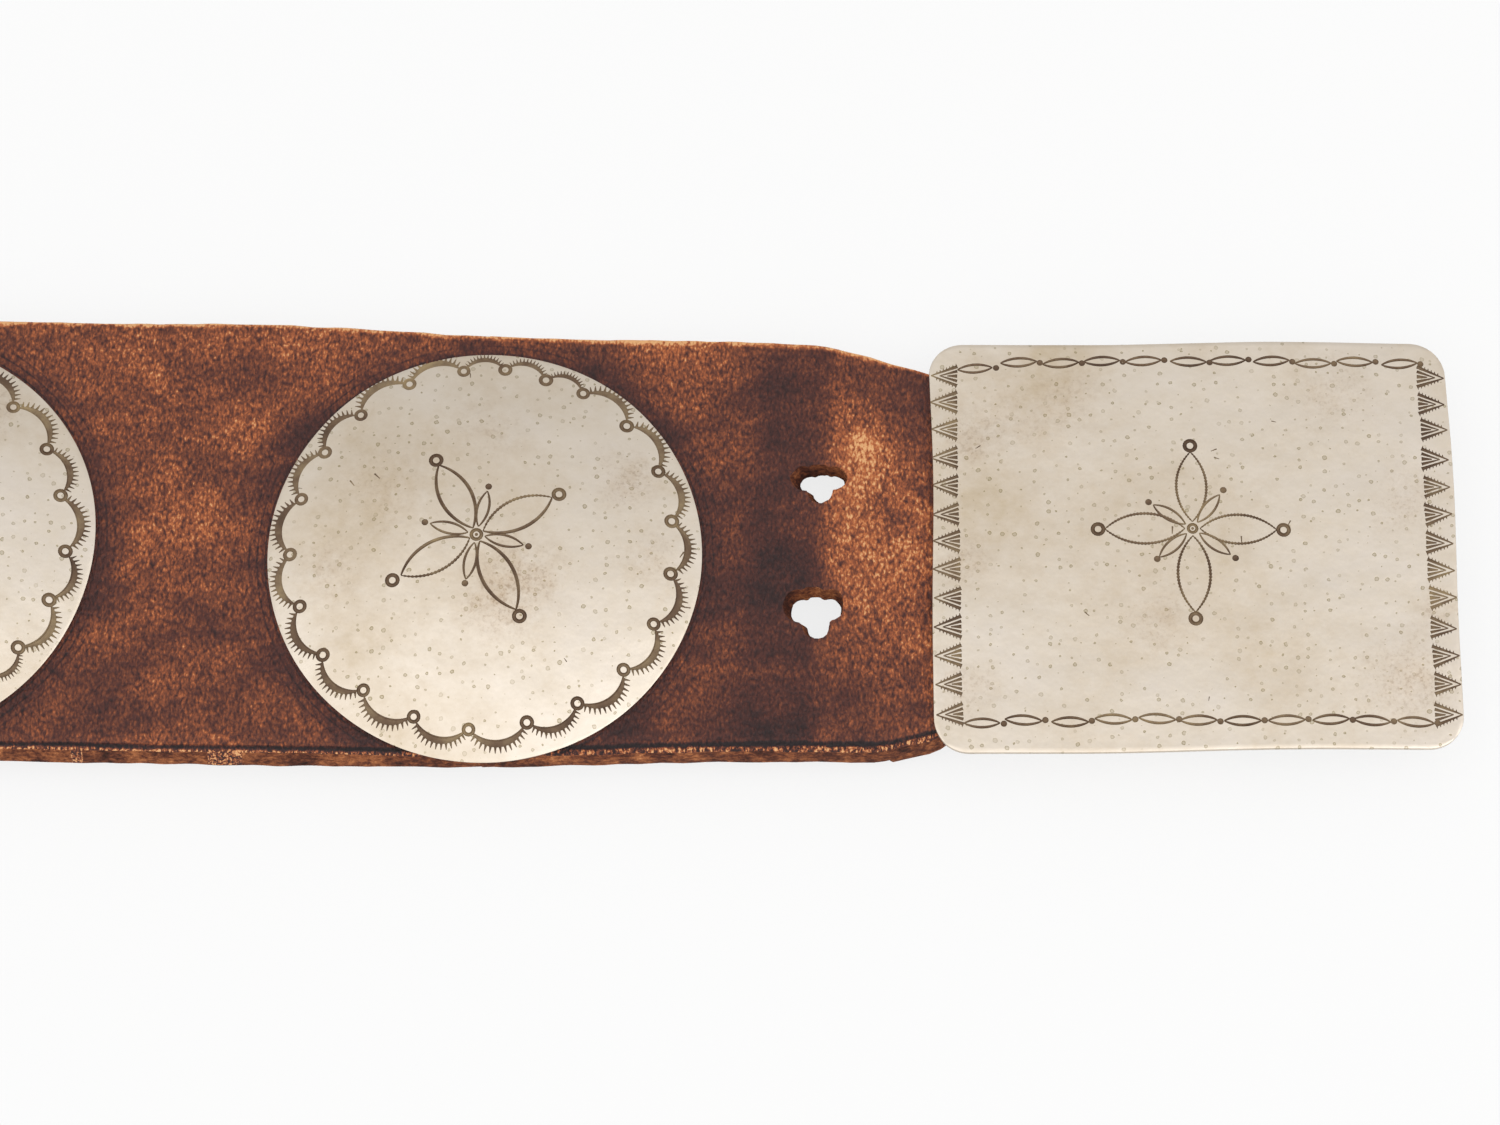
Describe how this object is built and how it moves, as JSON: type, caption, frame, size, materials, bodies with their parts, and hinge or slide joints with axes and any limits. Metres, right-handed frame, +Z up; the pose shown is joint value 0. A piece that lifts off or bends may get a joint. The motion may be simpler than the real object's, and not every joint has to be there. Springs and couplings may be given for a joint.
{
  "type": "breast strap",
  "caption": "Wide leather breast strap with domed round stamped metal conchos and a rectangular plate buckle with two tongues; narrowed tail with hole pairs.",
  "frame": {"origin": "on the ground under the middle of the strap's length and width, lying flat and face up", "axes": "+X along the strap towards the buckle, +Y across it, +Z up out of its face"},
  "size_m": [1.218, 0.107, 0.0192],
  "materials": {
    "strap_leather": "worn, pebbled and waxed",
    "keeper_leather": "suede",
    "nickel_silver": "hand-stamped, tarnished satin",
    "cheek_metal": "filed, tarnished",
    "copper": "browned copper"
  },
  "bodies": {
    "strap_end": {"strap_buckle_end": "strap_leather", "fold_rivets": "copper", "rivet_burrs": "copper"},
    "span_1": {"strap_span_1": "strap_leather", "concho_1": "nickel_silver", "concho_loop_1": "copper", "loop_keeper_1": "keeper_leather"},
    "span_2": {"strap_span_2": "strap_leather", "concho_2": "nickel_silver", "concho_loop_2": "copper", "loop_keeper_2": "keeper_leather"},
    "span_3": {"strap_span_3": "strap_leather", "concho_3": "nickel_silver", "concho_loop_3": "copper", "loop_keeper_3": "keeper_leather"},
    "span_4": {"strap_span_4": "strap_leather", "concho_4": "nickel_silver", "concho_loop_4": "copper", "loop_keeper_4": "keeper_leather"},
    "span_5": {"strap_span_5": "strap_leather", "concho_5": "nickel_silver", "concho_loop_5": "copper", "loop_keeper_5": "keeper_leather"},
    "span_6": {"strap_span_6": "strap_leather", "concho_6": "nickel_silver", "concho_loop_6": "copper", "loop_keeper_6": "keeper_leather"},
    "ramp": {"strap_ramp": "strap_leather"},
    "tail": {"strap_tail": "strap_leather"},
    "buckle": {"buckle_plate": "nickel_silver", "cheek_upper": "cheek_metal", "cheek_lower": "cheek_metal", "heel_bar": "copper", "outer_bar": "copper"},
    "tongue_upper": {"tongue_upper": "copper"},
    "tongue_lower": {"tongue_lower": "copper"}
  },
  "joints": [
    {"name": "bend_1", "type": "hinge", "parent": "strap_end", "child": "span_1", "pos_m": [0.4426, 0, 0.00895], "axis": [0, 1, 0], "range_deg": [-30, 30], "stiffness_Nm_per_rad": 0.6},
    {"name": "bend_2", "type": "hinge", "parent": "span_1", "child": "span_2", "pos_m": [0.311, 0, 0.00895], "axis": [0, 1, 0], "range_deg": [-30, 30], "stiffness_Nm_per_rad": 0.6},
    {"name": "bend_3", "type": "hinge", "parent": "span_2", "child": "span_3", "pos_m": [0.1694, 0, 0.00895], "axis": [0, 1, 0], "range_deg": [-30, 30], "stiffness_Nm_per_rad": 0.6},
    {"name": "bend_4", "type": "hinge", "parent": "span_3", "child": "span_4", "pos_m": [0.0278, 0, 0.00895], "axis": [0, 1, 0], "range_deg": [-30, 30], "stiffness_Nm_per_rad": 0.6},
    {"name": "bend_5", "type": "hinge", "parent": "span_4", "child": "span_5", "pos_m": [-0.1138, 0, 0.00895], "axis": [0, 1, 0], "range_deg": [-30, 30], "stiffness_Nm_per_rad": 0.6},
    {"name": "bend_6", "type": "hinge", "parent": "span_5", "child": "span_6", "pos_m": [-0.2554, 0, 0.00895], "axis": [0, 1, 0], "range_deg": [-30, 30], "stiffness_Nm_per_rad": 0.6},
    {"name": "bend_7", "type": "hinge", "parent": "span_6", "child": "ramp", "pos_m": [-0.397, 0, 0.00895], "axis": [0, 1, 0], "range_deg": [-30, 30], "stiffness_Nm_per_rad": 0.6},
    {"name": "bend_8", "type": "hinge", "parent": "ramp", "child": "tail", "pos_m": [-0.459, 0, 0.00225], "axis": [0, 1, 0], "range_deg": [-30, 30], "stiffness_Nm_per_rad": 0.6},
    {"name": "buckle_swing", "type": "hinge", "parent": "strap_end", "child": "buckle", "pos_m": [0.5055, 0, 0.0044], "axis": [0, 1, 0], "range_deg": [0, 45]},
    {"name": "tongue_upper_swing", "type": "hinge", "parent": "buckle", "child": "tongue_upper", "pos_m": [0.5055, 0.016, 0.0044], "axis": [0, 1, 0], "range_deg": [0, 90]},
    {"name": "tongue_lower_swing", "type": "hinge", "parent": "buckle", "child": "tongue_lower", "pos_m": [0.5055, -0.016, 0.0044], "axis": [0, 1, 0], "range_deg": [0, 90]}
  ]
}
